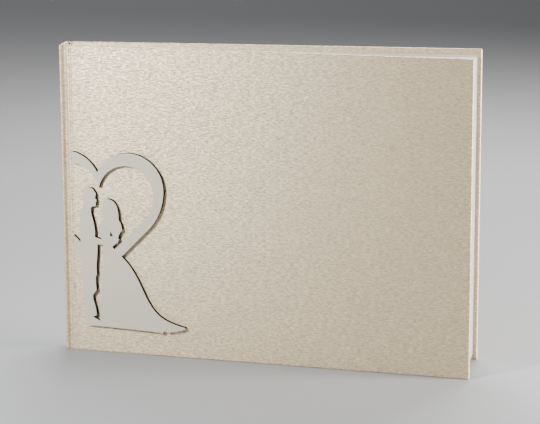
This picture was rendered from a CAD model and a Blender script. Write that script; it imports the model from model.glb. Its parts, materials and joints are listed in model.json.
# %% [markdown]
# # A wedding guest book that stands slightly open
#
# The real thing is a hard-cover book in landscape format. Two boards and a flat spine are wrapped in a
# satin paper that is pressed into a groove beside the spine, twelve sewn sections of card stand fanned
# between the covers, and a plate cut out by laser is glued to the front: a couple inside a heart.
#
# The boards, leaves and plate arrive finished, so this script gives them their surfaces. Two things are
# made anew: the paper that wraps the case, because it has soft edges, a crease and folded corners, and the
# cloth over the folds, because it moves with the sections.

# %% Load the construction
import json
from math import cos, pi, radians, sin

import bmesh
import bpy
from mathutils import Euler, Matrix, Vector


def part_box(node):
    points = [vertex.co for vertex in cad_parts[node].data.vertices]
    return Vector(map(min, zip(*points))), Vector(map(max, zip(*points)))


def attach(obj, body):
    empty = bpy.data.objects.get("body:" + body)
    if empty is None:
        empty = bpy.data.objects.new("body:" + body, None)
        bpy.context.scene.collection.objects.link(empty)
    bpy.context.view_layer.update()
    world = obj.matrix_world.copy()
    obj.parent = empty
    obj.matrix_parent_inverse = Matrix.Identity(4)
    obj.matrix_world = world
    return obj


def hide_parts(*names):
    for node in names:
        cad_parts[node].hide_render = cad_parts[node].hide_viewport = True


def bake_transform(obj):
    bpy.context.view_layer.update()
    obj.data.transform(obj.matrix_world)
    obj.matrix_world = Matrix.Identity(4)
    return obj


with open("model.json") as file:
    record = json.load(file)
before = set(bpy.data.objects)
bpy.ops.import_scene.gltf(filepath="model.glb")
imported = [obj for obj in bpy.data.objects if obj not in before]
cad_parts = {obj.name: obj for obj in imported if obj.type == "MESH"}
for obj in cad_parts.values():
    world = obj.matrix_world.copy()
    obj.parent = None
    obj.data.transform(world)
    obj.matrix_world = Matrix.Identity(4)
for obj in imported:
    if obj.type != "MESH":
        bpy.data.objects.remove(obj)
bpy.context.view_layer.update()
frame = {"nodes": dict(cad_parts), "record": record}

# %% [markdown]
# ## Driving sizes
#
# Blender works in metres, and a book is thought of in millimetres, so lengths are written in millimetres
# times `mm`. What the construction already knows, such as where the covers turn, is asked of it.

# %% Driving sizes
mm = 0.001
opening = radians(6.6)          # how far the front cover stands open
skin = 0.3 * mm                 # the paper's thickness
edge_round = 0.9 * mm           # rounding of a wrapped board's edges
turn_in = 15 * mm               # paper folded over onto the inside
cut_depth = 1.5 * skin          # a cut goes through the paper and a little further
sharp_above = radians(38)       # an edge that turns more than this stays sharp

joints = {joint["name"]: joint for joint in frame["record"]["behaviour"]["joints"]}
front_hinge = Vector(joints["front_cover_hinge"]["pos_m"])
back_hinge = Vector(joints["back_cover_hinge"]["pos_m"])
spine_low, spine_high = (Vector(corner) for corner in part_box("spine_covering"))
back_low, back_high = (Vector(corner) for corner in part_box("back_covering"))
case_height = spine_high.z - spine_low.z
groove_depth = front_hinge.y - spine_low.y
cover_thickness = back_high.y - back_low.y
cover_end = back_high.x - back_hinge.x
print("a cover is", round(cover_thickness / mm, 2), "mm thick and", round(cover_end / mm, 1), "mm long")

# %% [markdown]
# ## Camera
#
# A long lens from about a metre and a half keeps the covers' edges almost parallel, which is how small
# products are usually shown. The camera looks down a little, from the fore-edge side.

# %% Camera
focal_length = 140.7            # in millimetres, as Blender asks for it
from_spine = Vector((368.5, -1352, 401)) * mm
looks_down, turns_left, rolls = 12.36, 9.51, -0.27      # in degrees

lens_data = bpy.data.cameras.new("camera")
lens_data.lens = focal_length
lens_data.sensor_width = 36
camera = bpy.data.objects.new("camera", lens_data)
spine_corner = Vector((spine_low.x, spine_low.y, 0))
camera.location = spine_corner + from_spine
aim = Euler((radians(90 - looks_down), 0, radians(turns_left))).to_matrix()
camera.rotation_euler = (aim @ Matrix.Rotation(radians(rolls), 3, "Z")).to_euler()
bpy.context.collection.objects.link(camera)
bpy.context.scene.camera = camera
print("the camera stands", round(camera.location.length, 2), "m away")

# %% [markdown]
# ## Floor and light
#
# A grey sheet curves up behind the book, so that no horizon shows. The main lamp is small and stands high
# on the left, close to the cover: it draws the plate's short shadows to the right and downwards. A large,
# weak, warm lamp on the right fills them and helps the satin paper to change slowly from pale to tan. The
# rim lamp, above and behind, and the edge lamp, beside the fore-edges, draw the bright lines along the
# case's edges. The back lamp is for the sheet behind the book.

# %% Floor and light
def bare_material(name, colour, roughness):
    """A plain material of one colour, for the stage."""
    material = bpy.data.materials.new(name)
    material.use_nodes = True
    shader = material.node_tree.nodes["Principled BSDF"]
    shader.inputs["Base Color"].default_value = (*colour, 1)
    shader.inputs["Roughness"].default_value = roughness
    return material


def paper_sweep():
    """A floor that turns up into a wall through a quarter circle."""
    half_width, front, back, top, bend, steps = 6.0, -6.0, 3.4, 5.0, 1.2, 16
    turns = [pi / 2 * k / steps for k in range(steps + 1)]
    profile = [(front, 0.0)]
    profile += [(back + bend * sin(a), bend - bend * cos(a)) for a in turns]
    profile += [(back + bend, top)]
    mesh = bpy.data.meshes.new("paper_sweep")
    points = [(side * half_width, y, z) for y, z in profile for side in (-1, 1)]
    faces = [(2 * k, 2 * k + 1, 2 * k + 3, 2 * k + 2) for k in range(len(profile) - 1)]
    mesh.from_pydata(points, [], faces)
    mesh.polygons.foreach_set("use_smooth", [True] * len(mesh.polygons))
    sweep = bpy.data.objects.new("paper_sweep", mesh)
    sweep.data.materials.append(bare_material("backdrop paper", (0.33, 0.335, 0.35), 0.8))
    bpy.context.collection.objects.link(sweep)


def lamp(name, place, target, size, power, colour=(1, 1, 1)):
    """A rectangular lamp that looks at its target: metres, watts and a colour."""
    data = bpy.data.lights.new(name, "AREA")
    data.shape = "RECTANGLE"
    data.size, data.size_y = size
    data.energy = power
    data.color = colour
    light = bpy.data.objects.new(name, data)
    light.location = place
    light.rotation_euler = (Vector(target) - Vector(place)).to_track_quat("-Z", "Y").to_euler()
    bpy.context.collection.objects.link(light)


paper_sweep()
middle = Vector((0, 0, case_height / 2))
plate_middle = Vector((-0.09, -0.005, 0.085))
main_way = Vector((-0.58, -1.0, 0.64)).normalized()
main_distance = 0.65
main_place = plate_middle + main_way * main_distance
main_target = plate_middle + Vector((0.05, 0, 0))
lamp("main lamp", main_place, main_target, (0.08, 0.08), 7.7, (0.96, 0.99, 1.0))
lamp("warm fill", (1.0, -0.8, 0.35), middle, (0.8, 0.6), 1.8, (1.0, 0.60, 0.15))
lamp("rim lamp", (0.1, 0.8, 0.95), middle, (0.9, 0.35), 26, (1.0, 0.98, 0.95))
lamp("edge lamp", (0.9, -0.02, 0.22), middle, (0.3, 0.4), 31, (1.0, 0.97, 0.92))
lamp("back lamp", (-1.2, 2.2, 2.4), (0.0, 2.6, 0.0), (1.2, 1.2), 26)

world = bpy.data.worlds.new("studio")
bpy.context.scene.world = world
world.use_nodes = True
sky = world.node_tree.nodes["Background"]
sky.inputs["Color"].default_value = (0.86, 0.88, 0.92, 1)
sky.inputs["Strength"].default_value = 0.03
print("five lamps and a grey sky")

# %% [markdown]
# ## A shader group for streaks
#
# The covering paper looks brushed: short, fine lines that run along the book. Noise does that when its
# space is squeezed across the lines and stretched along them. Two sizes are mixed so that no length
# stands out. The plate's burnt walls use the same group with other lengths.

# %% Streaks group
per_metre = 1000                # millimetres in a metre, for groups that take sizes in millimetres


def new_group(name, inputs, outputs):
    """An empty shader group with its sockets, and the nodes at both of its ends."""
    group = bpy.data.node_groups.new(name, "ShaderNodeTree")
    for label, kind, value in inputs:
        socket = group.interface.new_socket(label, in_out="INPUT", socket_type=kind)
        if value is not None:
            socket.default_value = value
    for label, kind in outputs:
        group.interface.new_socket(label, in_out="OUTPUT", socket_type=kind)
    return group, group.nodes.new("NodeGroupInput"), group.nodes.new("NodeGroupOutput")


def link_all(tree, pairs):
    for source, target in pairs:
        tree.links.new(source, target)


def math_node(tree, operation, first, second):
    node = tree.nodes.new("ShaderNodeMath")
    node.operation = operation
    for socket, value in zip(node.inputs, (first, second)):
        if isinstance(value, (int, float)):
            socket.default_value = value
        else:
            tree.links.new(value, socket)
    return node.outputs[0]


def make_streaks_group():
    """Lines along the local x axis: Length and Width are in millimetres, Mask runs from 0 to 1."""
    group, given, result = new_group(
        "Streaks",
        [
            ("Vector", "NodeSocketVector", None),
            ("Length", "NodeSocketFloat", 9.0),
            ("Width", "NodeSocketFloat", 0.6),
        ],
        [("Mask", "NodeSocketFloat"), ("Cloud", "NodeSocketFloat")],
    )
    per_length = math_node(group, "DIVIDE", per_metre, given.outputs["Length"])
    per_width = math_node(group, "DIVIDE", per_metre, given.outputs["Width"])
    squeeze = group.nodes.new("ShaderNodeCombineXYZ")
    link_all(group, [
        (per_length, squeeze.inputs["X"]),
        (per_length, squeeze.inputs["Y"]),
        (per_width, squeeze.inputs["Z"]),
    ])
    squeezed = group.nodes.new("ShaderNodeVectorMath")
    squeezed.operation = "MULTIPLY"
    link_all(group, [(given.outputs["Vector"], squeezed.inputs[0]), (squeeze.outputs[0], squeezed.inputs[1])])
    long_lines = group.nodes.new("ShaderNodeTexNoise")
    long_lines.inputs["Scale"].default_value = 1.0
    long_lines.inputs["Detail"].default_value = 3.0
    short_lines = group.nodes.new("ShaderNodeTexNoise")
    short_lines.inputs["Scale"].default_value = 2.3
    short_lines.inputs["Detail"].default_value = 2.0
    cloud = group.nodes.new("ShaderNodeTexNoise")
    cloud.inputs["Scale"].default_value = 28.0
    cloud.inputs["Detail"].default_value = 3.0
    link_all(group, [(squeezed.outputs[0], long_lines.inputs["Vector"])])
    link_all(group, [(squeezed.outputs[0], short_lines.inputs["Vector"])])
    link_all(group, [(given.outputs["Vector"], cloud.inputs["Vector"])])
    both = math_node(group, "ADD", long_lines.outputs["Fac"], short_lines.outputs["Fac"])
    half = math_node(group, "MULTIPLY", both, 0.5)
    spread = group.nodes.new("ShaderNodeMapRange")
    spread.inputs["From Min"].default_value = 0.40
    spread.inputs["From Max"].default_value = 0.60
    link_all(group, [(half, spread.inputs["Value"])])
    link_all(group, [
        (spread.outputs["Result"], result.inputs["Mask"]),
        (cloud.outputs["Fac"], result.inputs["Cloud"]),
    ])
    return group


streaks_group = make_streaks_group()
print("made the group", streaks_group.name)

# %% [markdown]
# ## A shader group for paper fibre
#
# Uncoated card and board are never one flat tone. A fine speckle with a slow cloud under it, both weak,
# is enough for the page card, the endpapers, the boards, the cut-out plate, the thread and the cloth.

# %% Fibre group
def make_fibre_group():
    """Speckle of the given Grain in millimetres, mixed with a slow cloud; Mask runs from 0 to 1."""
    group, given, result = new_group(
        "Fibre",
        [("Vector", "NodeSocketVector", None), ("Grain", "NodeSocketFloat", 0.5)],
        [("Mask", "NodeSocketFloat")],
    )
    scale = math_node(group, "DIVIDE", per_metre, given.outputs["Grain"])
    speckle = group.nodes.new("ShaderNodeTexNoise")
    speckle.inputs["Detail"].default_value = 4.0
    cloud = group.nodes.new("ShaderNodeTexNoise")
    cloud.inputs["Scale"].default_value = 35.0
    link_all(group, [(given.outputs["Vector"], speckle.inputs["Vector"]), (scale, speckle.inputs["Scale"])])
    link_all(group, [(given.outputs["Vector"], cloud.inputs["Vector"])])
    both = math_node(group, "ADD", speckle.outputs["Fac"], cloud.outputs["Fac"])
    link_all(group, [(math_node(group, "MULTIPLY", both, 0.5), result.inputs["Mask"])])
    return group


fibre_group = make_fibre_group()
print("made the group", fibre_group.name)

# %% [markdown]
# ## Materials
#
# Each material reads Object coordinates. The front cover stands at an angle, so a Mapping node turns its
# pattern with it: the streaks then run along the cover and not across it. The paper has a little metal in
# it, more in its pale lines than in its dark ones, which is what makes it a champagne satin. Its sheen is
# stretched upwards, square to the lines, as it is on anything brushed.

# %% Material helpers
def start_material(name, roughness=0.5, turn=0.0):
    """A material with its shader and a vector in the piece's own direction."""
    material = bpy.data.materials.new(name)
    material.use_nodes = True
    tree = material.node_tree
    shader = tree.nodes["Principled BSDF"]
    shader.inputs["Roughness"].default_value = roughness
    place = tree.nodes.new("ShaderNodeTexCoord")
    turned = tree.nodes.new("ShaderNodeMapping")
    turned.inputs["Rotation"].default_value = (0, 0, turn)
    tree.links.new(place.outputs["Object"], turned.inputs["Vector"])
    return material, tree, shader, turned.outputs["Vector"]


def put_group(tree, group, vector, **values):
    node = tree.nodes.new("ShaderNodeGroup")
    node.node_tree = group
    tree.links.new(vector, node.inputs["Vector"])
    for label, value in values.items():
        node.inputs[label].default_value = value
    return node


def blend_colours(tree, mask, dark, light):
    """A mix of two colours, by a mask or by one plain share."""
    mix = tree.nodes.new("ShaderNodeMix")
    mix.data_type = "RGBA"
    for label, colour in (("A_Color", dark), ("B_Color", light)):
        socket = next(s for s in mix.inputs if s.identifier == label)
        if isinstance(colour, tuple):
            socket.default_value = (*colour, 1)
        else:
            tree.links.new(colour, socket)
    if isinstance(mask, float):
        mix.inputs["Factor"].default_value = mask
    else:
        tree.links.new(mask, mix.inputs["Factor"])
    return next(s for s in mix.outputs if s.identifier == "Result_Color")


def add_bump(tree, shader, height, distance, strength=0.5):
    bump = tree.nodes.new("ShaderNodeBump")
    bump.inputs["Distance"].default_value = distance
    bump.inputs["Strength"].default_value = strength
    tree.links.new(height, bump.inputs["Height"])
    tree.links.new(bump.outputs["Normal"], shader.inputs["Normal"])


# %% Satin covering paper
def satin_paper(name, turn=0.0):
    """Streaked paper: the mask of its lines drives its colour, gloss, metal and relief together."""
    material, tree, shader, vector = start_material(name, turn=turn)
    lines = put_group(tree, streaks_group, vector, Length=3.2, Width=0.75)
    mask = lines.outputs["Mask"]

    dark_line, pale_line = (0.36, 0.285, 0.182), (0.98, 0.80, 0.54)
    dark_cloud, pale_cloud = (0.62, 0.495, 0.32), (0.72, 0.58, 0.385)
    tone = blend_colours(tree, mask, dark_line, pale_line)
    cloud = blend_colours(tree, lines.outputs["Cloud"], dark_cloud, pale_cloud)
    share_of_cloud = 0.25
    tree.links.new(blend_colours(tree, share_of_cloud, tone, cloud), shader.inputs["Base Color"])

    for label, in_dark_lines, in_pale_lines in (("Roughness", 0.52, 0.41), ("Metallic", 0.10, 0.6)):
        level = tree.nodes.new("ShaderNodeMapRange")
        level.inputs["To Min"].default_value = in_dark_lines
        level.inputs["To Max"].default_value = in_pale_lines
        link_all(tree, [(mask, level.inputs["Value"]), (level.outputs["Result"], shader.inputs[label])])

    shader.inputs["Anisotropic"].default_value = 0.7
    upwards = tree.nodes.new("ShaderNodeVectorTransform")
    upwards.vector_type = "VECTOR"
    upwards.convert_from = "OBJECT"
    upwards.convert_to = "WORLD"
    upwards.inputs["Vector"].default_value = (0, 0, 1)
    tree.links.new(upwards.outputs["Vector"], shader.inputs["Tangent"])
    add_bump(tree, shader, mask, distance=0.08 * mm, strength=1.0)
    return material


case_paper = satin_paper("champagne satin paper")
front_paper = satin_paper("champagne satin paper, front cover", opening)


# %% Card, endpaper, board and thread
def fibre_paper(name, dark, light, roughness, grain):
    """Matt paper, board or thread that is speckled between two tones."""
    material, tree, shader, vector = start_material(name, roughness)
    fibre = put_group(tree, fibre_group, vector, Grain=grain)
    link_all(tree, [(blend_colours(tree, fibre.outputs["Mask"], dark, light), shader.inputs["Base Color"])])
    add_bump(tree, shader, fibre.outputs["Mask"], distance=0.02 * mm)
    return material


page_card = fibre_paper("white page card", (0.74, 0.75, 0.82), (0.88, 0.89, 0.95), 0.75, 0.4)
endpaper = fibre_paper("ivory endpaper", (0.62, 0.57, 0.48), (0.74, 0.69, 0.60), 0.6, 0.5)
grey_board = fibre_paper("grey board", (0.30, 0.28, 0.25), (0.46, 0.43, 0.39), 0.9, 0.7)
linen_thread = fibre_paper("waxed linen thread", (0.70, 0.67, 0.60), (0.85, 0.82, 0.76), 0.5, 0.15)
open_cloth = fibre_paper("starched spine cloth", (0.60, 0.56, 0.48), (0.80, 0.76, 0.68), 0.9, 0.3)


# %% [markdown]
# The plate is a grey-ivory card 3 mm thick. The laser leaves its face clean and chars its walls from dark
# brown to black. A wall is found by its normal: on the face the normal points straight out of the cover,
# and on a wall it is square to that. The normal is taken in the piece's own space, so it turns with it.

# %% Cut-out plate
def laser_cut_card():
    material, tree, shader, vector = start_material("laser-cut card", roughness=0.7, turn=opening)
    shader.inputs["Specular IOR Level"].default_value = 0.15
    dark_card, pale_card = (0.51, 0.475, 0.375), (0.61, 0.575, 0.465)
    black_char, brown_char = (0.003, 0.0022, 0.0015), (0.022, 0.013, 0.007)
    fibre = put_group(tree, fibre_group, vector, Grain=0.6)
    face = blend_colours(tree, fibre.outputs["Mask"], dark_card, pale_card)
    char = put_group(tree, streaks_group, vector, Length=1.2, Width=0.5)
    wall = blend_colours(tree, char.outputs["Mask"], black_char, brown_char)
    place = tree.nodes.new("ShaderNodeTexCoord")
    facing = tree.nodes.new("ShaderNodeVectorMath")
    facing.operation = "DOT_PRODUCT"
    straight_out = (-sin(opening), -cos(opening), 0)
    facing.inputs[1].default_value = straight_out
    link_all(tree, [(place.outputs["Normal"], facing.inputs[0])])
    is_face = math_node(tree, "GREATER_THAN", facing.outputs["Value"], 0.7)
    link_all(tree, [(blend_colours(tree, is_face, wall, face), shader.inputs["Base Color"])])
    add_bump(tree, shader, fibre.outputs["Mask"], distance=0.03 * mm)
    return material


plate_card = laser_cut_card()
print(len(bpy.data.materials), "materials")


# %% Put the finishes on
def finish(node, material):
    """Gives one finished node its material."""
    mesh = frame["nodes"][node].data
    mesh.materials.clear()
    mesh.materials.append(material)


by_slot = {
    "satin_paper": case_paper,
    "grey_board": grey_board,
    "endpaper": endpaper,
    "page_card": page_card,
    "thread": linen_thread,
    "mull_cloth": open_cloth,
    "laser_cut_card": plate_card,
}
for entry in frame["record"]["subparts"]:
    finish(entry["node"], by_slot[entry["material_slot"]])
finish("front_covering", front_paper)

# %% [markdown]
# ## The paper that wraps the boards
#
# A case is made from one sheet, glued over both covers and the spine and turned in over every edge. Over
# a board it is a slab with round edges, so it is lofted here: a rounded rectangle is stacked from tail to
# head, and drawn in at both ends along a quarter circle. Beside the spine the face carries the press mark
# of the binder's iron. The board's room and the window that the turned-in paper leaves are then cut out.

# %% Wrapped board
corner_steps = 8                # points along a quarter circle, seen from above
rim_step = 15                   # degrees between the rings at both ends
same_place = 1e-7               # points closer than this are one point


def ring(low, high, radius, inset, marks=(), far_radius=None):
    """One closed outline. Marks are (distance, depth) pairs on the side that faces the low y. The two
    corners at the high x may have a radius of their own."""
    (x0, y0), (x1, y1) = low, high
    far = far_radius or radius
    points = []
    for middle_x, middle_y, round_by, start in (
        (x0 + radius, y0 + radius, radius, 180), (x1 - far, y0 + far, far, 270),
        (x1 - far, y1 - far, far, 0), (x0 + radius, y1 - radius, radius, 90),
    ):
        for k in range(corner_steps + 1):
            a = radians(start + 90 * k / corner_steps)
            points.append((middle_x + (round_by - inset) * cos(a), middle_y + (round_by - inset) * sin(a)))
        if start == 180:
            points += [(x0 + d, y0 + inset + depth * (1 - inset / radius)) for d, depth in marks]
    return points


def slab(low, high, radius, marks=(), far_radius=None):
    """A mesh with all edges rounded, lofted from rings that are stacked along z."""
    turns = [radians(a) for a in range(0, 91, rim_step)]
    steps = [(radius * (1 - sin(a)), radius * (1 - cos(a))) for a in turns]
    levels = [(inset, low[2] + rise) for inset, rise in steps]
    levels += [(inset, high[2] - rise) for inset, rise in reversed(steps)]
    shape = bmesh.new()
    rows = []
    for inset, z in levels:
        outline = ring(low[:2], high[:2], radius, inset, marks, far_radius)
        rows.append([shape.verts.new((x, y, z)) for x, y in outline])
    count = len(rows[0])
    for below, above in zip(rows, rows[1:]):
        for k in range(count):
            after = (k + 1) % count
            shape.faces.new((below[k], below[after], above[after], above[k]))
    shape.faces.new(list(reversed(rows[0])))
    shape.faces.new(rows[-1])
    bmesh.ops.remove_doubles(shape, verts=shape.verts, dist=same_place)
    bmesh.ops.recalc_face_normals(shape, faces=shape.faces)
    return shape


def solid(name, shape):
    mesh = bpy.data.meshes.new(name)
    shape.to_mesh(mesh)
    shape.free()
    piece = bpy.data.objects.new(name, mesh)
    bpy.context.collection.objects.link(piece)
    return piece


def block(name, low, high):
    shape = bmesh.new()
    bmesh.ops.create_cube(shape, size=1)
    low, high = Vector(low), Vector(high)
    for vertex in shape.verts:
        vertex.co = Vector(a * (h - l) + (h + l) / 2 for a, l, h in zip(vertex.co, low, high))
    return solid(name, shape)


def bake(piece):
    """Turns a piece and its modifiers into a plain mesh."""
    evaluated = piece.evaluated_get(bpy.context.evaluated_depsgraph_get())
    mesh = bpy.data.meshes.new_from_object(evaluated)
    piece.modifiers.clear()
    piece.data = mesh
    return mesh


def cut_out(piece, tools):
    """Takes the tools out of the piece and throws them away."""
    for tool in tools:
        cut = piece.modifiers.new("cut", "BOOLEAN")
        cut.operation = "DIFFERENCE"
        cut.solver = "EXACT"
        cut.object = tool
    bake(piece)
    for tool in tools:
        bpy.data.objects.remove(tool)


def lay(piece, place, material, body, *nodes):
    """Moves the mesh, not the object, to its place; smooths it and hands it to its body."""
    piece.data.transform(place)
    for face in piece.data.polygons:
        face.use_smooth = True
    piece.data.set_sharp_from_angle(angle=sharp_above)
    piece.data.materials.clear()
    piece.data.materials.append(material)
    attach(piece, body)
    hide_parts(*nodes)
    print(piece.name, len(piece.data.polygons), "faces")


# %% Covers
board_gap = 1.25 * mm           # from a groove's middle to the cover's edge
mark_start, mark_depth = 1.6 * mm, 0.25 * mm
# the press mark as (millimetres from its start, share of its depth)
mark_profile = [(0, 0), (0.3, 0.2), (0.6, 0.8), (0.9, 1), (1.3, 1), (1.6, 0.8), (1.9, 0.2), (2.2, 0)]
press_mark = [(mark_start + along * mm, share * mark_depth) for along, share in mark_profile]
press_mark += [(40 * mm, 0)]    # beyond the mark the face is flat
inner = cover_thickness - groove_depth
fold_mark_size = (12 * mm, 0.3 * mm, 0.28 * mm)
fold_mark_place = 5.2 * mm      # from the corner to the bar's middle, both ways


def fold_marks(name, low, high, floor):
    """Four thin bars across the corners, where the turned-in paper meets in a mitre."""
    shape = bmesh.new()
    for x, toward_x in ((low[0], 1), (high[0], -1)):
        for z, toward_z in ((low[1], 1), (high[1], -1)):
            bar = bmesh.ops.create_cube(shape, size=1)["verts"]
            turn = Matrix.Rotation(-radians(45) * toward_x * toward_z, 4, "Y")
            bmesh.ops.scale(shape, vec=fold_mark_size, verts=bar)
            bmesh.ops.transform(shape, matrix=turn, verts=bar)
            middle_of_bar = Vector((x + toward_x * fold_mark_place, floor, z + toward_z * fold_mark_place))
            bmesh.ops.translate(shape, vec=middle_of_bar, verts=bar)
    return solid(name, shape)


def cover_paper(name, place, material, body, node):
    """The covering of one cover, made lying with its outer face towards -y and its hinge at the origin."""
    low, high = (board_gap, -groove_depth, 0), (cover_end, inner, case_height)
    paper = solid(name, slab(low, high, edge_round, press_mark))
    board_low = tuple(value + skin for value in low)
    board_high = tuple(value - skin for value in high)
    board_room = solid("board_room", slab(board_low, board_high, edge_round - skin))
    window = block(
        "window",
        (low[0] + turn_in, inner - cut_depth, turn_in),
        (high[0] - turn_in, inner + mm, high[2] - turn_in),
    )
    marks = fold_marks("fold_marks", (low[0], 0), (high[0], case_height), inner)
    cut_out(paper, [board_room, window, marks])
    lay(paper, place, material, body, node)
    return paper


front_place = Matrix.Translation((front_hinge.x, front_hinge.y, 0)) @ Matrix.Rotation(-opening, 4, "Z")
back_place = Matrix.Translation((back_hinge.x, back_hinge.y, 0)) @ Matrix.Scale(-1, 4, (0, 1, 0))
cover_paper("front_cover_paper", front_place, front_paper, "front_cover", "front_covering")
back_cover_paper = cover_paper("back_cover_paper", back_place, case_paper, "back_cover", "back_covering")
back_cover_paper.data.flip_normals()    # its place is a mirror image

# %% Spine
spine_thickness = 2.6 * mm
groove_round = 1.6 * mm         # the spine's edges fall away softly into the grooves
spine_depth = spine_high.y - spine_low.y
spine_size = (spine_thickness, spine_depth, case_height)
spine_paper = solid("spine_paper", slab((0, 0, 0), spine_size, edge_round, far_radius=groove_round))
room_end = [size - skin for size in spine_size]
room = slab((skin, skin, skin), room_end, edge_round - skin, far_radius=groove_round - skin)
spine_room = solid("spine_room", room)
spine_window = block(
    "spine_window",
    (spine_thickness - cut_depth, 2 * groove_depth, turn_in),
    (spine_thickness + mm, spine_depth - 2 * groove_depth, case_height - turn_in),
)
cut_out(spine_paper, [spine_room, spine_window])
spine_place = Matrix.Translation((spine_low.x, spine_low.y, 0))
lay(spine_paper, spine_place, case_paper, "spine", "spine_covering")

# %% [markdown]
# ## The two grooves
#
# Between the spine and each cover the paper has no board under it. The binder presses it inwards into a
# groove, which is where the case bends. Its line goes from the spine's round edge to the groove's floor
# and up to the cover's round edge. A Geometry Nodes tree raises that line into a sheet as high as the
# case, and a Solidify modifier gives it the paper's thickness. Each sheet bends with the two bodies that
# it joins, so the case stays closed at every opening.

# %% Raised line tree
def make_raised_line():
    tree = bpy.data.node_groups.new("Raised line", "GeometryNodeTree")
    tree.interface.new_socket("Geometry", in_out="INPUT", socket_type="NodeSocketGeometry")
    sockets = {}
    for label, kind in (("Height", "NodeSocketFloat"), ("Paper", "NodeSocketMaterial")):
        sockets[label] = tree.interface.new_socket(label, in_out="INPUT", socket_type=kind).identifier
    tree.interface.new_socket("Geometry", in_out="OUTPUT", socket_type="NodeSocketGeometry")
    given, result = tree.nodes.new("NodeGroupInput"), tree.nodes.new("NodeGroupOutput")
    raise_line = tree.nodes.new("GeometryNodeExtrudeMesh")
    raise_line.mode = "EDGES"
    upwards = tree.nodes.new("ShaderNodeCombineXYZ")
    realize = tree.nodes.new("GeometryNodeRealizeInstances")
    paint = tree.nodes.new("GeometryNodeSetMaterial")
    raise_line.inputs["Offset Scale"].default_value = 1.0
    link_all(tree, [
        (given.outputs["Geometry"], raise_line.inputs["Mesh"]),
        (given.outputs["Height"], upwards.inputs["Z"]),
        (upwards.outputs["Vector"], raise_line.inputs["Offset"]),
        (raise_line.outputs["Mesh"], realize.inputs["Geometry"]),
        (realize.outputs["Geometry"], paint.inputs["Geometry"]),
        (given.outputs["Paper"], paint.inputs["Material"]),
        (paint.outputs["Geometry"], result.inputs["Geometry"]),
    ])
    return tree, sockets


raised_line, raised_sockets = make_raised_line()


def smooth_run(start, start_way, end, end_way, steps=10):
    """Points between two places, leaving and arriving along the given directions."""
    reach = (end - start).length
    a, b = start_way.normalized() * reach, end_way.normalized() * reach
    run = []
    for k in range(steps):
        t = k / steps
        run.append(
            start * (2 * t**3 - 3 * t**2 + 1) + a * (t**3 - 2 * t**2 + t)
            + end * (3 * t**2 - 2 * t**3) + b * (t**3 - t**2)
        )
    return run + [end]


def groove_paper(name, line, material):
    """A thin sheet raised from a line, that bends with the two bodies it joins."""
    mesh = bpy.data.meshes.new(name)
    mesh.from_pydata([(p.x, p.y, skin) for p in line], [(k, k + 1) for k in range(len(line) - 1)], [])
    piece = bpy.data.objects.new(name, mesh)
    bpy.context.collection.objects.link(piece)
    raising = piece.modifiers.new("raise", "NODES")
    raising.node_group = raised_line
    raising[raised_sockets["Height"]] = case_height - 2 * skin
    raising[raised_sockets["Paper"]] = material
    thicken = piece.modifiers.new("thickness", "SOLIDIFY")
    thicken.thickness = skin
    thicken.offset = 0
    mesh = bake(piece)
    shape = bmesh.new()
    shape.from_mesh(mesh)
    bmesh.ops.recalc_face_normals(shape, faces=shape.faces)
    shape.to_mesh(mesh)
    shape.free()
    for face in mesh.polygons:
        face.use_smooth = True
    mesh.set_sharp_from_angle(angle=sharp_above)
    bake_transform(piece)
    print(name, len(mesh.polygons), "faces")
    return piece


# %% Grooves
half_skin = skin / 2
spine_corner_point = (groove_round - half_skin) * sin(radians(45))
spine_edge = Vector((
    spine_thickness - groove_round + spine_corner_point,
    groove_round - spine_corner_point,
    skin,
))
corner_point = (edge_round - half_skin) * sin(radians(45))
cover_edge = Vector((board_gap + edge_round - corner_point, edge_round - groove_depth - corner_point, skin))
floor_way = Vector((cos(opening / 2), -sin(opening / 2), 0))

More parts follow.
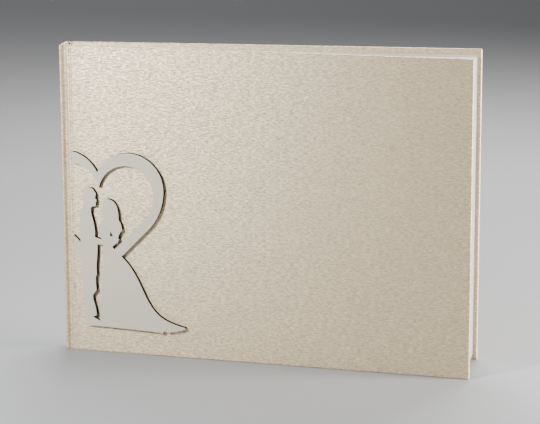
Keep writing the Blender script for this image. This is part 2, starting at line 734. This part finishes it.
front_spine_end = spine_edge + Vector((spine_low.x, spine_low.y, 0))
front_cover_end = front_place @ cover_edge
groove_floor = Vector((front_hinge.x, front_hinge.y, skin))
front_line = smooth_run(front_spine_end, Vector((1, 1, 0)), groove_floor, floor_way)
cover_way = front_place.to_3x3() @ Vector((1, -1, 0))
front_line += smooth_run(groove_floor, floor_way, front_cover_end, cover_way)[1:]
groove_paper("front_groove_paper", front_line, case_paper)

back_spine_end = Vector((spine_low.x + spine_edge.x, spine_high.y - spine_edge.y, skin))
back_cover_end = back_place @ cover_edge
groove_floor = Vector((back_hinge.x, back_hinge.y, skin))
back_line = smooth_run(back_cover_end, Vector((-1, -1, 0)), groove_floor, Vector((-1, 0, 0)))
back_line += smooth_run(groove_floor, Vector((-1, 0, 0)), back_spine_end, Vector((-1, 1, 0)))[1:]
groove_paper("back_groove_paper", back_line, case_paper)

# %% [markdown]
# ## The cloth over the folds
#
# The spine cloth is glued to all twelve sections and creases between them as the book opens. So it is
# made as twelve strips, and each strip moves with its own section. A hair's breadth is left between them
# for the crease.

# %% Cloth strips
cloth_low, cloth_high = (Vector(corner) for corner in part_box("spine_mull"))
folds = {number: Vector(joints[f"section_{number:02d}_fold"]["pos_m"]) for number in range(1, 13)}
folds["middle"] = (folds[6] + folds[7]) / 2
cloth_thickness = 0.25 * mm
crease = 0.03 * mm

for number in range(1, 13):
    inward = {6: "middle", 7: "middle"}.get(number, number + (1 if number < 7 else -1))
    low, high = sorted((folds[number], folds[inward]), key=lambda place: place.y)
    along = (high - low).normalized() * crease
    low, high = low + along, high - along
    outline = [
        (low.x, low.y),
        (high.x, high.y),
        (high.x - cloth_thickness, high.y),
        (low.x - cloth_thickness, low.y),
    ]
    corners = [(x, y, z) for z in (cloth_low.z, cloth_high.z) for x, y in outline]
    sides = [(k, (k + 1) % 4, (k + 1) % 4 + 4, k + 4) for k in range(4)]
    mesh = bpy.data.meshes.new(f"cloth_strip_{number:02d}")
    mesh.from_pydata(corners, [], [(3, 2, 1, 0), (4, 5, 6, 7)] + sides)
    mesh.materials.append(open_cloth)
    strip = bpy.data.objects.new(f"cloth_strip_{number:02d}", mesh)
    bpy.context.collection.objects.link(strip)
    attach(strip, f"section_{number:02d}")
    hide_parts("spine_mull")
print("twelve strips of cloth")
